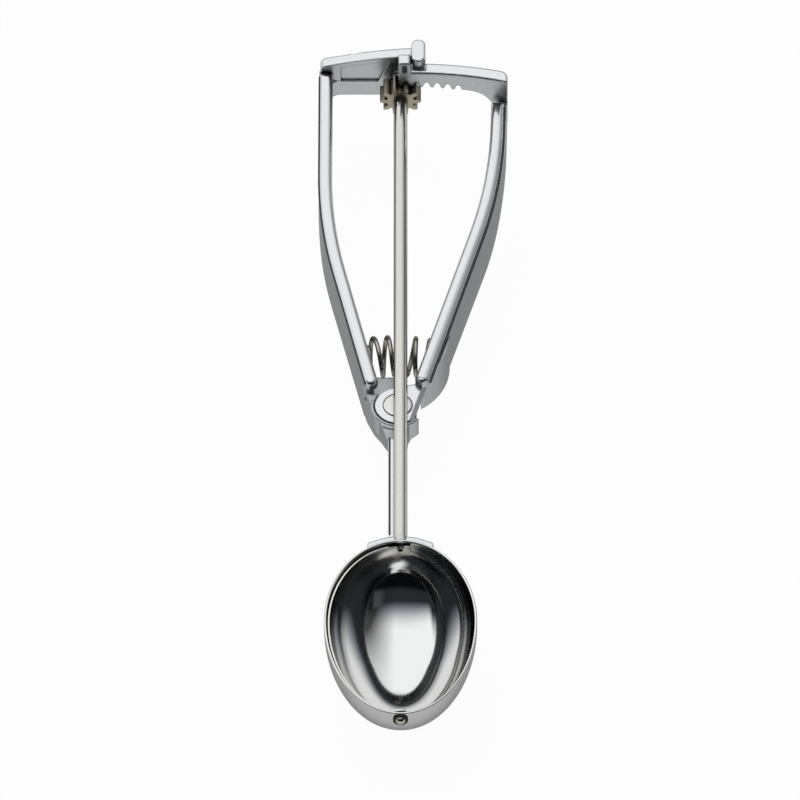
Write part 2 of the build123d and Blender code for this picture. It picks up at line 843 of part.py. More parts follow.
# ---- Return spring: a coil whose axis is an arc between the two grips ----
fixed_turn = atan2(fixed_along.X, fixed_along.Y)
lever_turn = atan2(lever_along.X, lever_along.Y)
end_turn = (spring_wire / 2 + spring_end_gap) / (spring_radius - coil_radius)
point_count = round(spring_turns * spring_points_per_turn)
coil = []
for index in range(point_count + 1):
    share = index / point_count
    swing = fixed_turn + end_turn + (lever_turn - fixed_turn - 2 * end_turn) * share
    angle = 2 * pi * spring_turns * share - pi / 2
    distance = spring_radius + coil_radius * cos(angle)
    coil.append(
        (
            spring_centre.X + distance * sin(swing),
            spring_centre.Y + distance * cos(swing),
            spring_height + coil_radius * sin(angle),
        )
    )
with BuildPart() as return_spring:
    with BuildLine() as coil_line:
        Spline(*coil)
    with BuildSketch(Plane(coil_line.line @ 0, z_dir=coil_line.line % 0)):
        RegularPolygon(spring_wire / 2, spring_sides)
    sweep(path=coil_line.line, is_frenet=True)
return_spring.part.label = "return_spring"

os.makedirs("parts", exist_ok=True)
export_step(fixed_handle.part, "parts/fixed_handle.step")
export_step(lever_handle.part, "parts/lever_handle.step")
export_step(pinion.part, "parts/pinion.step")
export_step(scraper_shaft.part, "parts/scraper_shaft.step")
export_step(scraper_blade.part, "parts/scraper_blade.step")
export_step(bowl.part, "parts/bowl.step")
export_step(rear_bush.part, "parts/rear_bush.step")
export_step(pivot_rivet.part, "parts/pivot_rivet.step")
export_step(pivot_washer.part, "parts/pivot_washer.step")
export_step(front_pin.part, "parts/front_pin.step")
export_step(front_washer.part, "parts/front_washer.step")
export_step(return_spring.part, "parts/return_spring.step")
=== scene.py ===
import math

import bpy
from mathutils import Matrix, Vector


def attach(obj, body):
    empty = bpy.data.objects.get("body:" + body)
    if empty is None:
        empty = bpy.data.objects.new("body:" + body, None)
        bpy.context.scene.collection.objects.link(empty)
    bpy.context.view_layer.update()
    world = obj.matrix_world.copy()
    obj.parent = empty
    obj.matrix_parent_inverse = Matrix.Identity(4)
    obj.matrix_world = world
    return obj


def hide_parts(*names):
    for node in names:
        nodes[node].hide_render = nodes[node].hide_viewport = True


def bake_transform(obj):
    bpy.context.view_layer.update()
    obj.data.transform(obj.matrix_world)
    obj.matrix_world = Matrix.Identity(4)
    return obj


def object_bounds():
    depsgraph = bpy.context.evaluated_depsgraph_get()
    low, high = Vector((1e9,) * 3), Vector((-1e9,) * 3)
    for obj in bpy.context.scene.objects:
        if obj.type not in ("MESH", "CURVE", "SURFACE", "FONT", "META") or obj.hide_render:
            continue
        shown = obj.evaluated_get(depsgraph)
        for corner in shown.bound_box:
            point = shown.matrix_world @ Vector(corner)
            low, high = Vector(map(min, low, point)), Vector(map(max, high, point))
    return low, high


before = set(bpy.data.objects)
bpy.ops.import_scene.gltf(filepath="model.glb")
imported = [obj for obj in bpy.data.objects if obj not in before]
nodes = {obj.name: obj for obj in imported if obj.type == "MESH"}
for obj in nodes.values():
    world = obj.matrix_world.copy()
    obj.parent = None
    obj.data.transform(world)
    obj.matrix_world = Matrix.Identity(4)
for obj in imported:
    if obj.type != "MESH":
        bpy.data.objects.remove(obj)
cad_low, cad_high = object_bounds()

MM = 0.001
QUARTER_TURN = math.pi / 2
HALF_TURN = math.pi
FULL_TURN = 2 * math.pi
SHARP_ANGLE = math.radians(40)

# ---- Sizes in millimetres, as in the solids where no comment says otherwise ----
# Bowl: half lengths of the egg from its widest station.
BOWL_WIDEST = -84.3
BOWL_RADIUS = 22.1
BOWL_REAR = 29.8
BOWL_FRONT = 34.4
BOWL_WALL = 0.8
BOWL_LIP = 2.5
BOWL_RINGS = 22
BOWL_SIDES = 160
RIM_STEPS = 8
RIM_SATIN_STEPS = 2

# Scraper blade: thinner than the solid's 0.8, with an eye smaller than its 2.9.
BLADE_GAP = 0.35
BLADE_WALL = 0.45
BLADE_OUTER = -BOWL_WALL - BLADE_GAP
BLADE_INNER = BLADE_OUTER - BLADE_WALL
BLADE_LOW = -5.2
BLADE_HIGH = 1.2
BLADE_POLE_SHARE = 0.012
BLADE_STATIONS = 120
BLADE_COLUMNS = 10
EYE_RADIUS = 2.2
EYE_HOLE = 1.05
EYE_STEPS = 8
TAB_LEFT = -3.4
TAB_RIGHT = 2.75
TAB_LOW = -2.6
TAB_STEPS = 12

# Return spring, on the solid's arc but with half a turn more; angles in radians.
COIL_CENTRE = (-1.69827, -18.5915)
COIL_SWEEP_RADIUS = 41.5915
COIL_RADIUS = 5.5
COIL_HEIGHT = -9.2
COIL_TURNS = 5.28
COIL_FIRST_ANGLE = math.radians(110)
COIL_WIRE_RADIUS = 0.7
COIL_START = -0.2296579
COIL_END = 0.2899032
COIL_END_TURN = 0.0221659
COIL_STEPS = 40

# Shaft: the tenon ends in a stub narrower than the solid's head, with a dark plug in it.
SHAFT_RADIUS = 2.0
SHAFT_CHAMFER = 0.2
SHAFT_LOW = -52.35
SHAFT_HIGH = 117.7
JOURNAL_RADIUS = 1.5
JOURNAL_HIGH = 121.75
TENON_RADIUS = 1.2
TENON_START = -55.65
STUB_RADIUS = 1.1
STUB_START = -56.0
TENON_END = -56.5
STUB_ROUND = (0.2, 0.15)
PLUG_RADIUS = 0.62
PLUG_FLAT_RADIUS = 0.45
PLUG_STAND = 0.12
PLUG_ROUND = 0.07
PLUG_DEPTH = 0.1

# Pivot: the rivet's head is lower than the solid's. The rivet's pairs are a radius and a
# height, those of an arc its two ends in degrees.
PIVOT_X = -0.8
BOSS_FRONT = -3.4
RIVET_RADIUS = 2.5
RIVET_HEAD_RADIUS = 4.15
RIVET_HEAD = ((0, -2.92), (2.4, -2.95), (3.6, -3.02), (4.0, -3.12), (RIVET_HEAD_RADIUS, -3.25))
RIVET_TAIL = -14.25
RIVET_TAIL_DOME = ((3.8, 0), (3.8, -0.5), (3.5, -0.85), (2.6, -1.0), (0, -1.0))
RIVET_LINE_GAP = 0.08
RIVET_LINE_WIRE = 0.15
CUP_RADIUS = 7.35
CUP_FRONT = -3.6
LIP_SUNK = 0.35
LIP_WIRE = 0.6
LIP_ARC = (165, 318)
SHADOW_OUTSIDE = 1.65
SHADOW_SUNK = 0.3
SHADOW_WIRE = 0.4
SHADOW_ARC = (241, 286)
ARC_STEP = 3.0
ARC_LEAST_STEPS = 8

# Front pin: a fuller head and a shorter shank than the solid's.
WASHER_FRONT = -119.2
PIN_RADIUS = 1.0
PIN_END = -117.05
PIN_CHAMFER = 0.1
PIN_HEAD_RADIUS = 1.5
PIN_HEAD_HEIGHT = 1.2
PIN_HEAD_STEPS = 8

# Recess in the lever's stop; a ring is a share of the outline and a depth.
RACK_INNER = 113.8
RECESS_CENTRE = (1.15, 10.3)
RECESS_HALF_WIDTH = 0.74
RECESS_HALF_STRAIGHT = 2.35
RECESS_RINGS = ((1.0, 0.12), (0.6, 0.5))
RECESS_SIDES = 32

# Grips: front plane, beads, and the centre lines that the beads follow in X and Y.
FRONT_AT_PIVOT = -0.7
FRONT_SLOPE = 0.038365
BEAD_WIDTH = 3.8
BEAD_DEPTH = 3.0
BEAD_ROUND = 1.5
BEND_RADIUS = 150.0
BEND_STEPS = 16
FIXED_FOOT = (-8.4, 7.0)
FIXED_ALONG = (-0.2277, 0.9737)
FIXED_BEND = (-21.9, 64.746)
FIXED_TOP = (-21.7, 118.5)
LEVER_FOOT = (6.1, 7.9)
LEVER_ALONG = (0.2859, 0.9583)
LEVER_BEND = (27.6, 79.97)
LEVER_TOP = (28.4, 107.4)

# Details of the beads that the solids don't have. In a pair of widths, or of distances from
# the centre line, the first is for the grip's lower part and the second for near the arm.
TOE_OVERLAP = 1.6
TOE_SET_BACK = 0.6
TOE_INSET = 0.03
TOE_DROP = 0.02
TOE_ROUND_STEPS = 8
TOE_TURN_STEPS = 16
NARROWING_START = 40
NARROWING_LENGTH = 65
FACE_ROUND = 1.53
FACE_INNER = -0.4
FACE_DROP = 1.7
FACE_STAND = 0.03
FACE_WIDTHS = (2.55, 1.95)
FACE_INNER_STEPS = 8
FACE_OUTER_STEPS = 14
CREASE_DROP = 1.25
CREASE_SIDES = 8
FIXED_CREASE = (-BEAD_WIDTH / 2 - 0.05, -BEAD_WIDTH / 2 - 0.05)
FIXED_CREASE_WIRE = 0.3
LEVER_CREASE = (2.65, 2.05)
LEVER_CREASE_WIRE = 0.36

# Shank, with a painted shade line along the left edge of its front.
SHANK_LEFT = -3.6
SHANK_FRONT = -3.0
SHANK_LINE_STATIONS = (-12.5, -30.0, -48.5)
SHANK_LINE_INSET = 0.45
SHANK_LINE_SUNK = 0.02
SHANK_LINE_WIRE = 0.28


# ---- Mesh helpers ----
def new_piece(name, verts, faces):
    """A smooth-shaded mesh object from points in millimetres."""
    mesh = bpy.data.meshes.new(name)
    mesh.from_pydata([(x * MM, y * MM, z * MM) for x, y, z in verts], [], faces)
    mesh.validate()
    mesh.shade_smooth()
    mesh.set_sharp_from_angle(angle=SHARP_ANGLE)
    piece = bpy.data.objects.new(name, mesh)
    bpy.context.scene.collection.objects.link(piece)
    return piece


def turns(start, end, steps):
    """Evenly spaced angles from start to end, both included."""
    return [start + (end - start) * step / steps for step in range(steps + 1)]


def circle(sides):
    """Evenly spaced angles once round."""
    return [FULL_TURN * side / sides for side in range(sides)]


def grid_faces(rows, columns, close_rows=False, close_columns=False):
    """Quads of a grid of points listed row by row."""
    faces = []
    for row in range(rows if close_rows else rows - 1):
        for column in range(columns if close_columns else columns - 1):
            a = row * columns + column
            b = row * columns + (column + 1) % columns
            c = ((row + 1) % rows) * columns + (column + 1) % columns
            d = ((row + 1) % rows) * columns + column
            faces.append((a, b, c, d))
    return faces


def bar_faces(rows, size):
    """Faces of a bar of closed loops with a flat face at each end."""
    faces = grid_faces(rows, size, close_columns=True)
    faces.append(tuple(range(size))[::-1])
    faces.append(tuple((rows - 1) * size + i for i in range(size)))
    return faces


def tube(name, points, radius, sides=14):
    """Round wire along a line of points, closed with flat ends."""
    count = len(points)
    line = [Vector(p) for p in points]
    along = []
    for i in range(count):
        before, after = line[max(i - 1, 0)], line[min(i + 1, count - 1)]
        along.append((after - before).normalized())
    across = along[0].orthogonal().normalized()
    verts = []
    for i in range(count):
        across = (across - along[i] * across.dot(along[i])).normalized()
        other = along[i].cross(across)
        for turn in circle(sides):
            outwards = across * math.cos(turn) + other * math.sin(turn)
            verts.append(tuple(line[i] + outwards * radius))
    return new_piece(name, verts, bar_faces(count, sides))


def arc_tube(name, radius, height, wire, arc, sides):
    """Round wire along an arc about the pivot's axis, between two angles in degrees."""
    start, end = arc
    steps = max(round((end - start) / ARC_STEP), ARC_LEAST_STEPS)
    points = []
    for degrees in turns(start, end, steps):
        turn = math.radians(degrees)
        points.append((PIVOT_X + radius * math.cos(turn), radius * math.sin(turn), height))
    return tube(name, points, wire, sides)


def lathe(name, profile, centre, axis, sides=72, closed=False):
    """Turned piece: (radius, height) pairs about an axis, "Y" or "Z", through a point."""
    verts = []
    for radius, height in profile:
        for turn in circle(sides):
            u, v = radius * math.cos(turn), radius * math.sin(turn)
            if axis == "Z":
                verts.append((centre[0] + u, centre[1] + v, centre[2] + height))
            else:
                verts.append((centre[0] + u, centre[1] + height, centre[2] - v))
    faces = grid_faces(len(profile), sides, close_rows=closed, close_columns=True)
    return new_piece(name, verts, faces)


def join(name, parts):
    """One mesh object from several."""
    verts, faces = [], []
    for part in parts:
        start = len(verts)
        verts += [tuple(v.co / MM) for v in part.data.vertices]
        faces += [tuple(start + i for i in p.vertices) for p in part.data.polygons]
        mesh = part.data
        bpy.data.objects.remove(part)
        bpy.data.meshes.remove(mesh)
    return new_piece(name, verts, faces)


def egg_length(side, growth):
    """Half length of the egg towards its rear (side above 0) or its front."""
    return (BOWL_REAR if side >= 0 else BOWL_FRONT) + growth


def egg_station(side, growth, off_axis):
    """Distance along Y from the widest station to the wall near a pole, off the axis."""
    share = off_axis / (BOWL_RADIUS + growth)
    return side * egg_length(side, growth) * math.sqrt(1 - share * share)


# ---- Bowl: polished inside, satin outside ----
def bowl_shell():
    """Half egg below the shaft's axis with a straight lip and a rounded rim."""
    inner, outer = -BOWL_WALL, 0
    rim_radius = (outer - inner) / 2
    middle = (outer + inner) / 2
    profile = [(outer, dip, 0) for dip in turns(QUARTER_TURN, 0, BOWL_RINGS)]
    for turn in turns(0, HALF_TURN, RIM_STEPS):
        rise = BOWL_LIP - rim_radius + rim_radius * math.sin(turn)
        profile.append((middle + rim_radius * math.cos(turn), 0, rise))
    profile += [(inner, dip, 0) for dip in turns(0, QUARTER_TURN, BOWL_RINGS)]
    verts = []
    for growth, dip, rise in profile:
        reach = math.cos(dip)
        for turn in circle(BOWL_SIDES):
            length = egg_length(math.sin(turn), growth)
            verts.append((
                (BOWL_RADIUS + growth) * reach * math.cos(turn),
                BOWL_WIDEST + length * reach * math.sin(turn),
                rise - (BOWL_RADIUS + growth) * math.sin(dip),
            ))
    faces = grid_faces(len(profile), BOWL_SIDES, close_columns=True)
    piece = new_piece("bowl_shell", verts, faces)
    satin_rows = BOWL_RINGS + 1 + RIM_SATIN_STEPS
    for polygon in piece.data.polygons:
        if polygon.index < satin_rows * BOWL_SIDES:
            polygon.material_index = 1
    return piece


bowl = bowl_shell()
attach(bowl, "frame")
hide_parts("bowl")


# ---- Scraper blade: a curved strip, a tab at its rear pole, an eye at its front pole ----
def blade_strip():
    """Strip of the egg's wall between two heights on the left side."""
    outwards, back = range(BLADE_COLUMNS + 1), range(BLADE_COLUMNS, -1, -1)
    verts = []
    for turn in turns(
        HALF_TURN * BLADE_POLE_SHARE, HALF_TURN * (1 - BLADE_POLE_SHARE), BLADE_STATIONS
    ):
        for growth, order in ((BLADE_OUTER, outwards), (BLADE_INNER, back)):
            radius = (BOWL_RADIUS + growth) * math.sin(turn)
            y = BOWL_WIDEST + egg_length(math.cos(turn), growth) * math.cos(turn)
            low = math.asin(max(BLADE_LOW / radius, -1))
            high = math.asin(min(BLADE_HIGH / radius, 1))
            for column in order:
                tilt = low + (high - low) * column / BLADE_COLUMNS
                verts.append((-radius * math.cos(tilt), y, radius * math.sin(tilt)))
    return new_piece("strip", verts, bar_faces(BLADE_STATIONS + 1, 2 * (BLADE_COLUMNS + 1)))


def blade_eye():
    """Dished disc at the blade's front pole, with the front pin's hole."""
    outer, inner = [], []
    for step in range(EYE_STEPS + 1):
        radius = EYE_HOLE + (EYE_RADIUS - EYE_HOLE) * step / EYE_STEPS
        outer.append((radius, egg_station(-1, BLADE_OUTER, radius)))
        inner.append((radius, egg_station(-1, BLADE_INNER, radius)))
    return lathe("eye", outer + inner[::-1], (0, BOWL_WIDEST, 0), "Y", closed=True)


def blade_tab():
    """Squared end of the blade that the shaft's tenon holds."""
    verts = []
    for growth in (BLADE_OUTER, BLADE_INNER):
        for row in range(TAB_STEPS + 1):
            z = TAB_LOW + (BLADE_HIGH - TAB_LOW) * row / TAB_STEPS
            for column in range(TAB_STEPS + 1):
                x = TAB_LEFT + (TAB_RIGHT - TAB_LEFT) * column / TAB_STEPS
                y = BOWL_WIDEST + egg_station(1, growth, math.hypot(x, z))
                verts.append((x, y, z))
    size = TAB_STEPS + 1
    layer = size * size
    faces = grid_faces(size, size)
    faces += [tuple(layer + i for i in face[::-1]) for face in faces]
    border = list(range(size))
    border += [row * size + TAB_STEPS for row in range(1, size)]
    border += [TAB_STEPS * size + column for column in range(TAB_STEPS - 1, -1, -1)]
    border += [row * size for row in range(TAB_STEPS - 1, 0, -1)]
    for here, after in zip(border, border[1:] + border[:1]):
        faces.append((here, after, layer + after, layer + here))
    return new_piece("tab", verts, faces)


blade = join("blade_strip", [blade_strip(), blade_tab(), blade_eye()])
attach(blade, "scraper")
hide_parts("scraper_blade")


# ---- Return spring: round wire wound about an arc between the handles ----
def coil_points():
    """The wire's centre line."""
    count = round(COIL_TURNS * COIL_STEPS)
    swings = turns(COIL_START + COIL_END_TURN, COIL_END - COIL_END_TURN, count)
    angles = turns(COIL_FIRST_ANGLE, COIL_FIRST_ANGLE + FULL_TURN * COIL_TURNS, count)
    points = []
    for swing, angle in zip(swings, angles):
        distance = COIL_SWEEP_RADIUS + COIL_RADIUS * math.cos(angle)
        points.append((
            COIL_CENTRE[0] + distance * math.sin(swing),
            COIL_CENTRE[1] + distance * math.cos(swing),
            COIL_HEIGHT + COIL_RADIUS * math.sin(angle),
        ))
    return points


spring = tube("spring_coil", coil_points(), COIL_WIRE_RADIUS)
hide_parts("return_spring")
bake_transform(spring)

# ---- Shaft with its journals and its tenon, and the plug in the tenon's end ----
shaft_profile = [
    (0, TENON_END),
    (STUB_RADIUS - STUB_ROUND[0], TENON_END),
    (STUB_RADIUS, TENON_END + STUB_ROUND[1]),
    (STUB_RADIUS, STUB_START),
    (TENON_RADIUS, STUB_START),
    (TENON_RADIUS, TENON_START),
    (JOURNAL_RADIUS, TENON_START),
    (JOURNAL_RADIUS, SHAFT_LOW),
    (SHAFT_RADIUS - SHAFT_CHAMFER, SHAFT_LOW),
    (SHAFT_RADIUS, SHAFT_LOW + SHAFT_CHAMFER),
    (SHAFT_RADIUS, SHAFT_HIGH),
    (JOURNAL_RADIUS, SHAFT_HIGH),
    (JOURNAL_RADIUS, JOURNAL_HIGH),
    (0, JOURNAL_HIGH),
]
shaft = lathe("shaft_rod", shaft_profile, (0, 0, 0), "Y")
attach(shaft, "scraper")
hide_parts("scraper_shaft")

plug_profile = [
    (0, TENON_END - PLUG_STAND),
    (PLUG_FLAT_RADIUS, TENON_END - PLUG_STAND),
    (PLUG_RADIUS, TENON_END - PLUG_STAND + PLUG_ROUND),
    (PLUG_RADIUS, TENON_END + PLUG_DEPTH),
]
tenon_end = lathe("tenon_end", plug_profile, (0, 0, 0), "Y", sides=32)
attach(tenon_end, "scraper")

# ---- Rivet of the pivot with its low head, and the dark line round it ----
rivet_profile = [
    *RIVET_HEAD,
    (RIVET_HEAD_RADIUS, BOSS_FRONT),
    (RIVET_RADIUS, BOSS_FRONT),
    (RIVET_RADIUS, RIVET_TAIL),
    *((radius, RIVET_TAIL + height) for radius, height in RIVET_TAIL_DOME),
]
rivet = lathe("rivet_body", rivet_profile, (PIVOT_X, 0, 0), "Z")
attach(rivet, "frame")
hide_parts("pivot_rivet")

rivet_line = arc_tube(
    "rivet_line", RIVET_HEAD_RADIUS + RIVET_LINE_GAP, BOSS_FRONT, RIVET_LINE_WIRE,
    (0, 360), sides=8,
)
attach(rivet_line, "frame")

# ---- Rounded lip on the cup round the lever's boss, and the shadow line below it ----
cup_lip = arc_tube(
    "cup_lip", CUP_RADIUS, CUP_FRONT - LIP_SUNK, LIP_WIRE, LIP_ARC, sides=14
)
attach(cup_lip, "frame")

cup_shadow = arc_tube(
    "cup_shadow", CUP_RADIUS + SHADOW_OUTSIDE, CUP_FRONT - SHADOW_SUNK, SHADOW_WIRE,
    SHADOW_ARC, sides=10,
)
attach(cup_shadow, "frame")

# ---- Front pin with its round head ----
pin_profile = [
    (PIN_HEAD_RADIUS * math.sin(turn), WASHER_FRONT - PIN_HEAD_HEIGHT * math.cos(turn))
    for turn in turns(0, QUARTER_TURN, PIN_HEAD_STEPS)
]
pin_profile += [
    (PIN_RADIUS, WASHER_FRONT),
    (PIN_RADIUS, PIN_END + PIN_CHAMFER),
    (PIN_RADIUS - PIN_CHAMFER, PIN_END),
    (0, PIN_END),
]
front_pin = lathe("pin_head", pin_profile, (0, 0, 0), "Y", sides=48)
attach(front_pin, "frame")
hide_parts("front_pin")


# ---- Painted shade: a dark floor in the recess of the lever's stop ----
def stop_recess():
    """Shallow dish with the recess's outline, a slot with round ends."""
    verts = []
    for share, depth in RECESS_RINGS:
        for turn in circle(RECESS_SIDES):
            straight = math.copysign(RECESS_HALF_STRAIGHT, math.sin(turn))
            tall = straight + RECESS_HALF_WIDTH * math.sin(turn)
            verts.append((
                RECESS_CENTRE[0] + RECESS_HALF_WIDTH * share * math.cos(turn),
                RACK_INNER + depth,
                RECESS_CENTRE[1] + share * tall,
            ))
    faces = grid_faces(len(RECESS_RINGS), RECESS_SIDES, close_columns=True)
    faces.append(tuple(range(RECESS_SIDES, 2 * RECESS_SIDES)))
    return new_piece("stop_recess", verts, faces)


recess = stop_recess()
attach(recess, "lever")


# ---- Rounded toes of the grips' beads ----
def front_plane(y):
    """Height of the grips' front plane, which rises towards the arm."""
    return FRONT_AT_PIVOT + FRONT_SLOPE * y


def bead_toe(name, foot, along):
    """Rounded lower end of a bead, as wide and as deep as the bead."""
    half_width = BEAD_WIDTH / 2 - TOE_INSET
    across = (along[1], -along[0])
    top = front_plane(foot[1]) - TOE_DROP
    profile = [(0, 0)]
    for turn in turns(0, QUARTER_TURN, TOE_ROUND_STEPS):
        profile.append((
            half_width - BEAD_ROUND + BEAD_ROUND * math.sin(turn),
            -BEAD_ROUND + BEAD_ROUND * math.cos(turn),
        ))
    profile.append((half_width, -BEAD_DEPTH))
    verts = []
    for radius, drop in profile:
        ring = [(radius, -TOE_OVERLAP)]
        for turn in turns(0, HALF_TURN, TOE_TURN_STEPS):
            ring.append((radius * math.cos(turn), radius * math.sin(turn)))
        ring.append((-radius, -TOE_OVERLAP))
        for aside, ahead in ring:
            verts.append((
                foot[0] + across[0] * aside - along[0] * (ahead - TOE_SET_BACK),
                foot[1] + across[1] * aside - along[1] * (ahead - TOE_SET_BACK),
                top + drop - FRONT_SLOPE * ahead,
            ))
    return new_piece(name, verts, grid_faces(len(profile), TOE_TURN_STEPS + 3))


fixed_toe = bead_toe("fixed_bead_toe", FIXED_FOOT, FIXED_ALONG)
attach(fixed_toe, "frame")
lever_toe = bead_toe("lever_bead_toe", LEVER_FOOT, LEVER_ALONG)
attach(lever_toe, "lever")


# ---- Fuller front of the lever's bead, and painted shade along the casting's creases ----
def bead_path(foot, bend, top):
    """Places and directions along a bead: two straights joined by a long bend."""
    foot, bend, top = Vector(foot), Vector(bend), Vector(top)
    lower = (bend - foot).normalized()
    upper = (top - bend).normalized()
    reach = BEND_RADIUS * math.tan(lower.angle(upper) / 2)
    first, last = bend - lower * reach, bend + upper * reach
    path = [(foot, lower), (first, lower)]
    for step in range(1, BEND_STEPS):
        share = step / BEND_STEPS
        rest = 1 - share
        place = first * rest ** 2 + bend * 2 * share * rest + last * share ** 2
        path.append((place, lower.lerp(upper, share).normalized()))
    return path + [(last, upper), (top, upper)]


def narrowing(y, pair):
    """A measure that goes from its value on the grip's lower part to that near the arm."""
    low, high = pair
    return low + (high - low) * min(max((y - NARROWING_START) / NARROWING_LENGTH, 0), 1)


def beside(place, along, aside):
    """Point at a distance to the right of a bead's centre line."""
    return place.x + along.y * aside, place.y - along.x * aside


def bead_crease(name, path, distances, wire):
    """Painted shade line along a bead's outer edge, at a distance from its centre line."""
    points = []
    for place, along in path:
        x, y = beside(place, along, narrowing(place.y, distances))
        points.append((x, y, front_plane(y) - CREASE_DROP))
    return tube(name, points, wire, CREASE_SIDES)


def bead_face(name, path, widths):
    """Full rounded front of a bead, sloping away further on its outer side."""
    inner_side = [
        (FACE_INNER - FACE_ROUND * math.sin(turn), FACE_ROUND * math.cos(turn) - FACE_ROUND)
        for turn in turns(QUARTER_TURN, 0, FACE_INNER_STEPS)
    ]
    verts = []
    for place, along in path:
        wide = narrowing(place.y, widths)
        outer_side = [
            (wide * math.sin(turn), FACE_DROP * math.cos(turn) - FACE_DROP)
            for turn in turns(0, QUARTER_TURN, FACE_OUTER_STEPS)
        ]
        for aside, drop in inner_side + outer_side:
            x, y = beside(place, along, aside)
            verts.append((x, y, front_plane(y) + FACE_STAND + drop))
    size = FACE_INNER_STEPS + FACE_OUTER_STEPS + 2
    return new_piece(name, verts, bar_faces(len(path), size))


fixed_path = bead_path(FIXED_FOOT, FIXED_BEND, FIXED_TOP)
fixed_crease = bead_crease("fixed_crease", fixed_path, FIXED_CREASE, FIXED_CREASE_WIRE)
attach(fixed_crease, "frame")
lever_path = bead_path(LEVER_FOOT, LEVER_BEND, LEVER_TOP)
lever_face = bead_face("lever_bead_face", lever_path, FACE_WIDTHS)
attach(lever_face, "lever")
lever_crease = bead_crease("lever_crease", lever_path, LEVER_CREASE, LEVER_CREASE_WIRE)
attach(lever_crease, "lever")

# Painted shade line along the left edge of the shank's front.
shank_points = [
    (SHANK_LEFT + SHANK_LINE_INSET, y, SHANK_FRONT - SHANK_LINE_SUNK)
    for y in SHANK_LINE_STATIONS
]
shank_line = tube("shank_line", shank_points, SHANK_LINE_WIRE, CREASE_SIDES)
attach(shank_line, "frame")


# ---- Node helpers ----
def material(name):
    """A new node material with its shader."""
    made = bpy.data.materials.new(name)
    made.use_nodes = True
    tree = made.node_tree
    return made, tree, tree.nodes["Principled BSDF"]


def map_range(tree, source, from_range, to_range, smooth=False):
    """A value mapped from one range to another."""
    node = tree.nodes.new("ShaderNodeMapRange")
    if smooth:
        node.interpolation_type = "SMOOTHSTEP"
    node.inputs["From Min"].default_value, node.inputs["From Max"].default_value = from_range
    node.inputs["To Min"].default_value, node.inputs["To Max"].default_value = to_range
    tree.links.new(source, node.inputs["Value"])
    return node.outputs["Result"]


def maths(tree, operation, first, second):
    """Result of a math node on two sockets or numbers."""
    node = tree.nodes.new("ShaderNodeMath")
    node.operation = operation
    for index, value in enumerate((first, second)):
        if isinstance(value, (int, float)):
            node.inputs[index].default_value = value
        else:
            tree.links.new(value, node.inputs[index])
    return node.outputs["Value"]


def noise(tree, vector, scale, detail=3.0):
    """A noise texture's value."""
    node = tree.nodes.new("ShaderNodeTexNoise")
    node.inputs["Scale"].default_value = scale
    node.inputs["Detail"].default_value = detail
    tree.links.new(vector, node.inputs["Vector"])
    return node.outputs["Fac"]


def mix_colour(tree, factor, first, second):
    """Two colours, or a socket and a colour, mixed by a factor's socket."""
    node = tree.nodes.new("ShaderNodeMix")
    node.data_type = "RGBA"
    for name, value in (("A", first), ("B", second)):
        if isinstance(value, tuple):
            node.inputs[name].default_value = (*value, 1)
        else:
            tree.links.new(value, node.inputs[name])
    tree.links.new(factor, node.inputs["Factor"])
    return node.outputs["Result"]


def darker(colour, share):
    """A colour multiplied by a share."""
    return tuple(c * share for c in colour)


# ---- Metals ----
# Where the castings are polished and drawn lighter, as the ranges in millimetres over which
# that begins or ends; their sides and lower faces are satin and painted darker as shade. The
# grips' depth is measured from a plane through the pivot with their slope.
LIT_POLISH_FACING = (0.15, 0.6)
GRIP_LIT_POLISH_DEPTH = (-2.7, -2.2)
GRIP_LIT_POLISH_START = (-3.0, -1.0)
SHANK_LIT_POLISH_START = (-12.0, -13.5)
SHANK_LIT_POLISH_DEPTH = (-3.4, -3.1)
BOSS_LIT_POLISH_END = (9.0, 10.5)
BOSS_LIT_POLISH_DEPTH = (-3.6, -3.45)
MOTTLE_SCALE = 900.0
MOTTLE_DETAIL = 2.0
MOTTLE_DARK = 0.82
CLOUD_RANGE = (0.3, 0.7)
CLOUD_DETAIL = 4.0
LEAST_ROUGHNESS = 0.02
# Painted shade in the creases, from an ambient occlusion node.
CREASE_SHADE_SAMPLES = 8
CREASE_SHADE_OPENING = (0.25, 0.85)
BEVEL_SAMPLES = 6
CREASE_SHADE = ((0.03, 0.03, 0.03), 1.2)


def polish_and_light_share(tree, place, low_boss):
    """1 on a casting's raised level faces, which keep polish and light, and 0 on its sides and
    lower parts, which are satin and painted in shade.
    """
    def within(source, limits, levels=(0, 1), smooth=False):
        return map_range(tree, source, [limit * MM for limit in limits], levels, smooth)

    parts = tree.nodes.new("ShaderNodeSeparateXYZ")
    tree.links.new(place.outputs["Normal"], parts.inputs["Vector"])
    facing = maths(tree, "ABSOLUTE", parts.outputs["Z"], 0)
    spot = tree.nodes.new("ShaderNodeSeparateXYZ")
    tree.links.new(place.outputs["Object"], spot.inputs["Vector"])
    y, z = spot.outputs["Y"], spot.outputs["Z"]
    depth = maths(tree, "SUBTRACT", z, maths(tree, "MULTIPLY", y, FRONT_SLOPE))
    raised = within(depth, GRIP_LIT_POLISH_DEPTH, smooth=True)
    raised = maths(tree, "MULTIPLY", raised, within(y, GRIP_LIT_POLISH_START))
    shank = maths(
        tree, "MULTIPLY", within(y, SHANK_LIT_POLISH_START), within(z, SHANK_LIT_POLISH_DEPTH)
    )
    raised = maths(tree, "MAXIMUM", raised, shank)
    if low_boss:
        near = within(y, BOSS_LIT_POLISH_END, (1, 0), smooth=True)
        boss = maths(tree, "MULTIPLY", near, within(z, BOSS_LIT_POLISH_DEPTH))
        raised = maths(tree, "MAXIMUM", raised, boss)
    facing = map_range(tree, facing, LIT_POLISH_FACING, (0, 1), smooth=True)
    return maths(tree, "MULTIPLY", facing, raised)


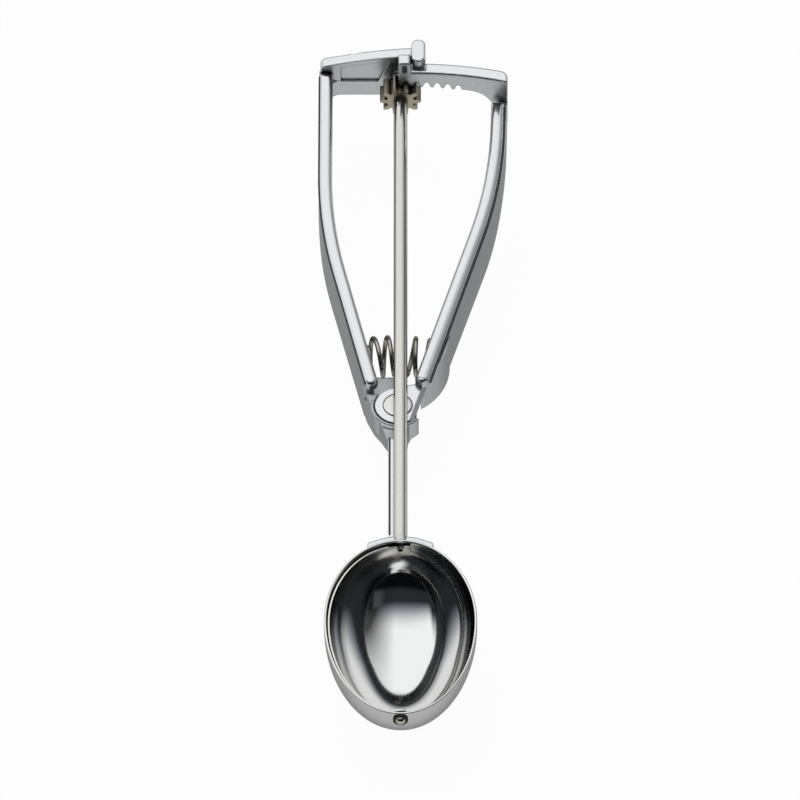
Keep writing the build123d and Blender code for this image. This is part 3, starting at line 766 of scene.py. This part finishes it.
def metal(
    name, colour, roughness, edge=0.5, stain=0.1, cloud=90.0, swing=0.04,
    stretch=(1, 1, 1), grain=(900.0, 0.002), crease_shade=None, bevel=None, shaded_satin_side=None,
    low_boss=False,
):
    """Bare metal: clouded colour, uneven polish, fine grain, and painted shade in its creases.

    edge: tint at grazing angles. stain, cloud: depth and scale of the colour's clouding.
    swing: the roughness's change with the clouding. stretch: grain's scale along x, y, z.
    grain: scale, and depth in mm. crease_shade: colour and reach in mm of the painted shade
    in its creases. bevel: radius of the softened edges in mm. shaded_satin_side: colour and
    roughness of faces without polish; their darker colour is painted shade.
    low_boss: faces by the pivot keep their polish and are left unshaded although they lie low.
    """
    made, tree, shader = material(name)
    links = tree.links
    shader.inputs["Metallic"].default_value = 1.0
    shader.inputs["Specular Tint"].default_value = (edge, edge, edge, 1)
    place = tree.nodes.new("ShaderNodeTexCoord")
    mapping = tree.nodes.new("ShaderNodeMapping")
    mapping.inputs["Scale"].default_value = stretch
    links.new(place.outputs["Object"], mapping.inputs["Vector"])

    clouds = noise(tree, place.outputs["Object"], cloud, CLOUD_DETAIL)
    tinted = mix_colour(tree, clouds, darker(colour, 1 - stain), colour)
    rough_range = (max(roughness - swing, LEAST_ROUGHNESS), roughness + swing)
    rough = map_range(tree, clouds, CLOUD_RANGE, rough_range)

    # Painted shade: sides and lower faces get a rougher satin and a darker colour that stands
    # in for shade.
    if shaded_satin_side:
        shaded_side_colour, side_roughness = shaded_satin_side
        polished_and_lit = polish_and_light_share(tree, place, low_boss)
        mottle = noise(tree, place.outputs["Object"], MOTTLE_SCALE, MOTTLE_DETAIL)
        shaded_satin = mix_colour(tree, mottle, darker(shaded_side_colour, MOTTLE_DARK), shaded_side_colour)
        tinted = mix_colour(tree, polished_and_lit, shaded_satin, tinted)
        rough_mix = tree.nodes.new("ShaderNodeMix")
        links.new(polished_and_lit, rough_mix.inputs["Factor"])
        rough_mix.inputs["A"].default_value = side_roughness
        links.new(rough, rough_mix.inputs["B"])
        rough = rough_mix.outputs["Result"]

    if crease_shade:
        # Painted shade: the creases are darkened by ambient occlusion.
        shade_colour, reach = crease_shade
        creases = tree.nodes.new("ShaderNodeAmbientOcclusion")
        creases.samples = CREASE_SHADE_SAMPLES
        creases.inputs["Distance"].default_value = reach * MM
        opening = map_range(tree, creases.outputs["AO"], CREASE_SHADE_OPENING, (0, 1), smooth=True)
        tinted = mix_colour(tree, opening, shade_colour, tinted)
    links.new(tinted, shader.inputs["Base Color"])
    links.new(rough, shader.inputs["Roughness"])

    grain_scale, grain_depth = grain
    bump = tree.nodes.new("ShaderNodeBump")
    bump.inputs["Strength"].default_value = 1.0
    bump.inputs["Distance"].default_value = grain_depth * MM
    links.new(noise(tree, mapping.outputs["Vector"], grain_scale), bump.inputs["Height"])
    if bevel:
        soften = tree.nodes.new("ShaderNodeBevel")
        soften.samples = BEVEL_SAMPLES
        soften.inputs["Radius"].default_value = bevel * MM
        links.new(soften.outputs["Normal"], bump.inputs["Normal"])
    links.new(bump.outputs["Normal"], shader.inputs["Normal"])
    return made


# The castings' sides and lower faces are painted darker as shade, and their creases get
# painted shade.
CAST_LOOK = {
    "colour": (0.79, 0.80, 0.815), "roughness": 0.17, "edge": 0.35, "stain": 0.08,
    "bevel": 0.7, "grain": (1100.0, 0.004), "crease_shade": CREASE_SHADE,
    "shaded_satin_side": ((0.50, 0.52, 0.525), 0.38),
}
casting = metal("cast_aluminium", **CAST_LOOK)
lever_casting = metal("lever_aluminium", **CAST_LOOK, low_boss=True)
rod_steel = metal(
    "rod_steel", (0.70, 0.69, 0.645), 0.13, edge=0.15, stain=0.08,
    stretch=(1, 0.04, 1), grain=(1600.0, 0.003), crease_shade=CREASE_SHADE,
)
bowl_steel = metal(
    "bowl_steel", (0.85, 0.85, 0.84), 0.07, edge=0.6, stain=0.04, swing=0.015,
    grain=(260.0, 0.002), cloud=45.0,
)
satin_steel = metal(
    "satin_steel", (0.50, 0.505, 0.50), 0.34, edge=0.4, cloud=40.0, grain=(1400.0, 0.004)
)
blade_steel = metal("blade_steel", (0.80, 0.78, 0.72), 0.14, grain=(700.0, 0.003))
collar_steel = metal("collar_steel", (0.66, 0.65, 0.62), 0.2, edge=0.3, crease_shade=CREASE_SHADE)
rivet_steel = metal("rivet_steel", (0.82, 0.81, 0.79), 0.3, grain=(1500.0, 0.004))
pin_steel = metal(
    "pin_steel", (0.42, 0.40, 0.35), 0.2, edge=0.1, crease_shade=((0.02, 0.02, 0.02), 0.8)
)
spring_steel = metal(
    "spring_steel", (0.50, 0.48, 0.43), 0.2, edge=0.08, stain=0.25,
    grain=(1500.0, 0.004), crease_shade=((0.05, 0.045, 0.035), 1.6),
)
pinion_brass = metal(
    "pinion_brass", (0.42, 0.385, 0.30), 0.42, edge=0.3, stain=0.3, cloud=500.0,
    grain=(1500.0, 0.01), crease_shade=((0.03, 0.027, 0.02), 1.6),
)
# Painted shade: the front washer is drawn nearly black as the shadow ring round the pin's
# head.
washer_painted_shade = metal("washer_painted_shade", (0.05, 0.048, 0.042), 0.5, edge=0.2, crease_shade=CREASE_SHADE)
# Painted shade: a dark grey for the stop's recess, the creases, the shank's edge and the
# shadow below the cup.
painted_shade = metal("painted_shade", (0.12, 0.125, 0.13), 0.5, stain=0.5, cloud=900.0)
# A dark brown for the line round the rivet's head and the plug in the tenon's end.
dark_brown_mark = metal("dark_brown_mark", (0.10, 0.07, 0.05), 0.6, stain=0.4, cloud=700.0)

finishes = {
    "fixed_handle": casting,
    "lever_handle": lever_casting,
    "pinion": pinion_brass,
    "scraper_shaft": rod_steel,
    "scraper_blade": blade_steel,
    "bowl": bowl_steel,
    "rear_bush": collar_steel,
    "pivot_rivet": rivet_steel,
    "pivot_washer": rivet_steel,
    "front_pin": pin_steel,
    "front_washer": washer_painted_shade,
    "return_spring": spring_steel,
}
for node_name, finish in finishes.items():
    node = nodes[node_name]
    node.data.materials.clear()
    node.data.materials.append(finish)
for piece, *piece_finishes in (
    (bowl, bowl_steel, satin_steel),
    (blade, blade_steel),
    (spring, spring_steel),
    (shaft, rod_steel),
    (tenon_end, dark_brown_mark),
    (rivet, rivet_steel),
    (rivet_line, dark_brown_mark),
    (cup_lip, casting),
    (cup_shadow, painted_shade),
    (front_pin, pin_steel),
    (recess, painted_shade),
    (fixed_toe, casting),
    (lever_toe, lever_casting),
    (shank_line, painted_shade),
    (fixed_crease, painted_shade),
    (lever_crease, painted_shade),
    (lever_face, lever_casting),
):
    for finish in piece_finishes:
        piece.data.materials.append(finish)


# ---- Floor: white paper that lights the part dimly but looks bright ----
FLOOR_SIZE = 40.0
FLOOR_GAP = 0.2 * MM
FLOOR_GLOW = 0.965
PAPER_SHADES = ((0.88, 0.88, 0.88), (0.92, 0.92, 0.92))
PAPER_CLOUD = 40.0
PAPER_ROUGHNESS = 0.9

floor_mesh = bpy.data.meshes.new("floor")
half = FLOOR_SIZE / 2
corners = [(-half, -half, 0), (half, -half, 0), (half, half, 0), (-half, half, 0)]
floor_mesh.from_pydata(corners, [], [(0, 1, 2, 3)])
floor = bpy.data.objects.new("floor", floor_mesh)
floor.location.z = cad_low.z - FLOOR_GAP
bpy.context.scene.collection.objects.link(floor)

paper, paper_tree, paper_shader = material("white_paper")
paper_shader.inputs["Roughness"].default_value = PAPER_ROUGHNESS
paper_place = paper_tree.nodes.new("ShaderNodeTexCoord")
paper_cloud = noise(paper_tree, paper_place.outputs["Object"], PAPER_CLOUD)
paper_tree.links.new(
    mix_colour(paper_tree, paper_cloud, *PAPER_SHADES), paper_shader.inputs["Base Color"]
)
ray = paper_tree.nodes.new("ShaderNodeLightPath").outputs
seen = maths(paper_tree, "MAXIMUM", ray["Is Camera Ray"], ray["Is Glossy Ray"])
seen = maths(paper_tree, "MAXIMUM", seen, ray["Is Transmission Ray"])
glow = paper_tree.nodes.new("ShaderNodeEmission")
glow.inputs["Color"].default_value = (1, 1, 1, 1)
glow.inputs["Strength"].default_value = 1.0
shown = paper_tree.nodes.new("ShaderNodeMixShader")
paper_surface = paper_tree.nodes["Material Output"].inputs["Surface"]
paper_tree.links.new(maths(paper_tree, "MULTIPLY", seen, FLOOR_GLOW), shown.inputs["Fac"])
paper_tree.links.new(paper_shader.outputs["BSDF"], shown.inputs[1])
paper_tree.links.new(glow.outputs["Emission"], shown.inputs[2])
paper_tree.links.new(shown.outputs["Shader"], paper_surface)
floor_mesh.materials.append(paper)

# ---- Studio: a dim room with one large soft light overhead, drawn by direction ----
# A range of climb is in degrees up from the rear horizon and over to the front; a range of
# side is of the direction's X, from left to right. Levels are strengths of light.
BOX_LEVEL = 1.06
BOX_LEFT = (-0.84, -0.74)
BOX_REAR = (20, 36)
BOX_REAR_LEAN = -0.3
BOX_FRONT = (90, 130)
BOX_WIDTH_CLIMB = (39, 120)
BOX_HALF_WIDTHS = (0.585, 0.86)
FADE_START = 0.2
FADE_CLIMB = (45, 112)
FADE_STEEPNESS = (0.55, 1.5)
FADE_LEAST = 0.06
WALL_DEPTH = (-0.1, 0.6)
WALL_LEVELS = (0.004, 0.15)
LEFT_GLOW_SIDE = (-0.66, -0.74)
LEFT_GLOW_LEVEL = 0.95
LEFT_GLOW_CLIMB = (-18, 14)
RIGHT_GLOW_SIDE = (0.82, 0.97)
RIGHT_GLOW_LEVEL = 0.35
GLOW_TOP_CLIMB = (60, 110)
DIM_LEVEL = 0.03
DIM_START_CLIMB = (110, 120)
DIM_END_CLIMB = (138, 150)
PANE_LEFT = (0.45, 0.65)
PANE_RIGHT = (0.72, 0.78)
PANE_BOOST = 2.5
PANE_BEYOND = 0.2
TINT_CLIMB = (105, 120)
REAR_TINT = (0.98, 0.99, 1.0)
FRONT_TINT = (0.78, 0.86, 1.0)

world = bpy.data.worlds.new("studio")
bpy.context.scene.world = world
world.use_nodes = True
room = world.node_tree
direction = room.nodes.new("ShaderNodeTexCoord").outputs["Generated"]
axes = room.nodes.new("ShaderNodeSeparateXYZ")
room.links.new(direction, axes.inputs["Vector"])
side = axes.outputs["X"]
climb = maths(room, "ARCTAN2", axes.outputs["Z"], axes.outputs["Y"])


def product(*factors):
    """Product of sockets or numbers."""
    result = factors[0]
    for factor in factors[1:]:
        result = maths(room, "MULTIPLY", result, factor)
    return result


def largest(*values):
    """Largest of sockets or numbers."""
    result = values[0]
    for value in values[1:]:
        result = maths(room, "MAXIMUM", result, value)
    return result


def by_side(side_range, levels):
    """A level that changes smoothly from left to right."""
    return map_range(room, side, side_range, levels, smooth=True)


def by_climb(climb_range, levels, smooth=True, source=climb):
    """A level that changes with the climb."""
    return map_range(room, source, [math.radians(a) for a in climb_range], levels, smooth)


half_width = by_climb(BOX_WIDTH_CLIMB, BOX_HALF_WIDTHS, smooth=False)
across = maths(room, "DIVIDE", side, half_width)
past_start = largest(maths(room, "SUBTRACT", across, FADE_START), 0)
fade = product(past_start, by_climb(FADE_CLIMB, FADE_STEEPNESS, smooth=False))
right_fade = largest(maths(room, "SUBTRACT", 1, fade), FADE_LEAST)
lean = product(maths(room, "MINIMUM", side, 0), BOX_REAR_LEAN)
leaning_climb = maths(room, "ADD", climb, lean)
box = product(
    by_side(BOX_LEFT, (0, 1)),
    right_fade,
    by_climb(BOX_REAR, (0, 1), source=leaning_climb),
    by_climb(BOX_FRONT, (1, 0)),
    BOX_LEVEL,
)
wall = map_range(room, axes.outputs["Y"], WALL_DEPTH, WALL_LEVELS)
left_glow = product(
    by_side(LEFT_GLOW_SIDE, (0, LEFT_GLOW_LEVEL)), by_climb(LEFT_GLOW_CLIMB, (0, 1))
)
right_glow = by_side(RIGHT_GLOW_SIDE, (0, RIGHT_GLOW_LEVEL))
side_glow = product(
    maths(room, "ADD", left_glow, right_glow), by_climb(GLOW_TOP_CLIMB, (1, 0))
)
pane = product(by_side(PANE_LEFT, (1, PANE_BOOST)), by_side(PANE_RIGHT, (1, PANE_BEYOND)))
dim = product(
    by_climb(DIM_START_CLIMB, (0, DIM_LEVEL)), by_climb(DIM_END_CLIMB, (1, 0)), pane
)
background = room.nodes["Background"].inputs
room.links.new(largest(box, wall, side_glow, dim), background["Strength"])
front_share = by_climb(TINT_CLIMB, (0, 1), smooth=False)
room.links.new(mix_colour(room, front_share, REAR_TINT, FRONT_TINT), background["Color"])

# ---- Key lamp: an area lamp above the rear that no reflection shows ----
KEY_PLACE = Vector((-0.1, 0.9, 1.3))
KEY_WIDTH = 1.2
KEY_HEIGHT = 1.0
KEY_POWER = 4
lamp = bpy.data.lights.new("key", "AREA")
lamp.shape = "RECTANGLE"
lamp.size = KEY_WIDTH
lamp.size_y = KEY_HEIGHT
lamp.energy = KEY_POWER
key = bpy.data.objects.new("key", lamp)
key.location = KEY_PLACE
key.rotation_mode = "QUATERNION"
key.rotation_quaternion = (-KEY_PLACE).to_track_quat("-Z", "Y")
key.visible_glossy = False
bpy.context.scene.collection.objects.link(key)

# ---- Camera ----
VIEW_ELEVATION = math.radians(51)
VIEW_DISTANCE = 8.0
VIEW_WIDTH = 0.2319
VIEW_DROP = 0.64 * MM
VIEW_LEFT = 0.145 * MM
VIEW_CLIP = (0.1, 60)
SENSOR_WIDTH = 36.0
camera_data = bpy.data.cameras.new("camera")
camera_data.sensor_width = SENSOR_WIDTH
camera_data.lens = SENSOR_WIDTH * VIEW_DISTANCE / VIEW_WIDTH
camera_data.clip_start, camera_data.clip_end = VIEW_CLIP
camera = bpy.data.objects.new("camera", camera_data)
towards = Vector((0, -math.cos(VIEW_ELEVATION), math.sin(VIEW_ELEVATION)))
upwards = Vector((0, math.sin(VIEW_ELEVATION), math.cos(VIEW_ELEVATION)))
camera.location = towards * VIEW_DISTANCE - upwards * VIEW_DROP - Vector((VIEW_LEFT, 0, 0))
camera.rotation_mode = "QUATERNION"
camera.rotation_quaternion = (-towards).to_track_quat("-Z", "Y")
bpy.context.scene.collection.objects.link(camera)
bpy.context.scene.camera = camera
bpy.context.scene.view_settings.view_transform = "Standard"
